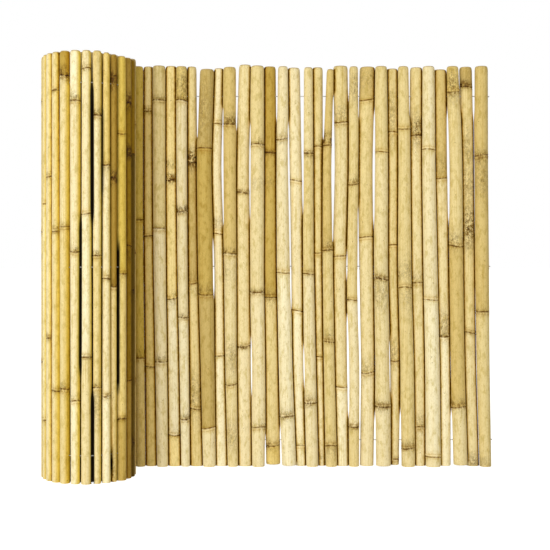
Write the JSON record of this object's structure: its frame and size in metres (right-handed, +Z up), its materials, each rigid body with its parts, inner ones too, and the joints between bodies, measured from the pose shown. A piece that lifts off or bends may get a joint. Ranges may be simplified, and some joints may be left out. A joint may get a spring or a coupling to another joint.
{
  "type": "bamboo screen",
  "caption": "Length of bamboo fencing: whole canes threaded side by side on three wires, one end still rolled up, standing on the canes' feet.",
  "frame": {"origin": "middle of the footprint, on the ground under the canes' feet", "axes": "+Z up along the canes, +X along the flat run towards its free edge, +Y to its back"},
  "size_m": [1.006, 0.2333, 0.915],
  "materials": {
    "bamboo": "natural, satin",
    "wire": "galvanised"
  },
  "bodies": {
    "root": {"cane_01": "bamboo", "cane_02": "bamboo", "cane_03": "bamboo", "cane_04": "bamboo", "cane_05": "bamboo", "cane_06": "bamboo", "cane_07": "bamboo", "cane_08": "bamboo", "cane_09": "bamboo", "cane_10": "bamboo", "cane_11": "bamboo", "cane_12": "bamboo", "cane_13": "bamboo", "cane_14": "bamboo", "cane_15": "bamboo", "cane_16": "bamboo", "cane_17": "bamboo", "cane_18": "bamboo", "cane_19": "bamboo", "cane_20": "bamboo", "cane_21": "bamboo", "cane_22": "bamboo", "cane_23": "bamboo", "cane_24": "bamboo", "cane_25": "bamboo", "cane_26": "bamboo", "cane_27": "bamboo", "cane_28": "bamboo", "cane_29": "bamboo", "cane_30": "bamboo", "cane_31": "bamboo", "cane_32": "bamboo", "cane_33": "bamboo", "cane_34": "bamboo", "cane_35": "bamboo", "cane_36": "bamboo", "cane_37": "bamboo", "cane_38": "bamboo", "cane_39": "bamboo", "cane_40": "bamboo", "cane_41": "bamboo", "cane_42": "bamboo", "cane_43": "bamboo", "cane_44": "bamboo", "cane_45": "bamboo", "cane_46": "bamboo", "cane_47": "bamboo", "cane_48": "bamboo", "cane_49": "bamboo", "cane_50": "bamboo", "cane_51": "bamboo", "cane_52": "bamboo", "cane_53": "bamboo", "cane_54": "bamboo", "cane_55": "bamboo", "second_turn": "bamboo", "core_turns": "bamboo", "top_wire": "wire", "middle_wire": "wire", "bottom_wire": "wire"}
  },
  "joints": []
}
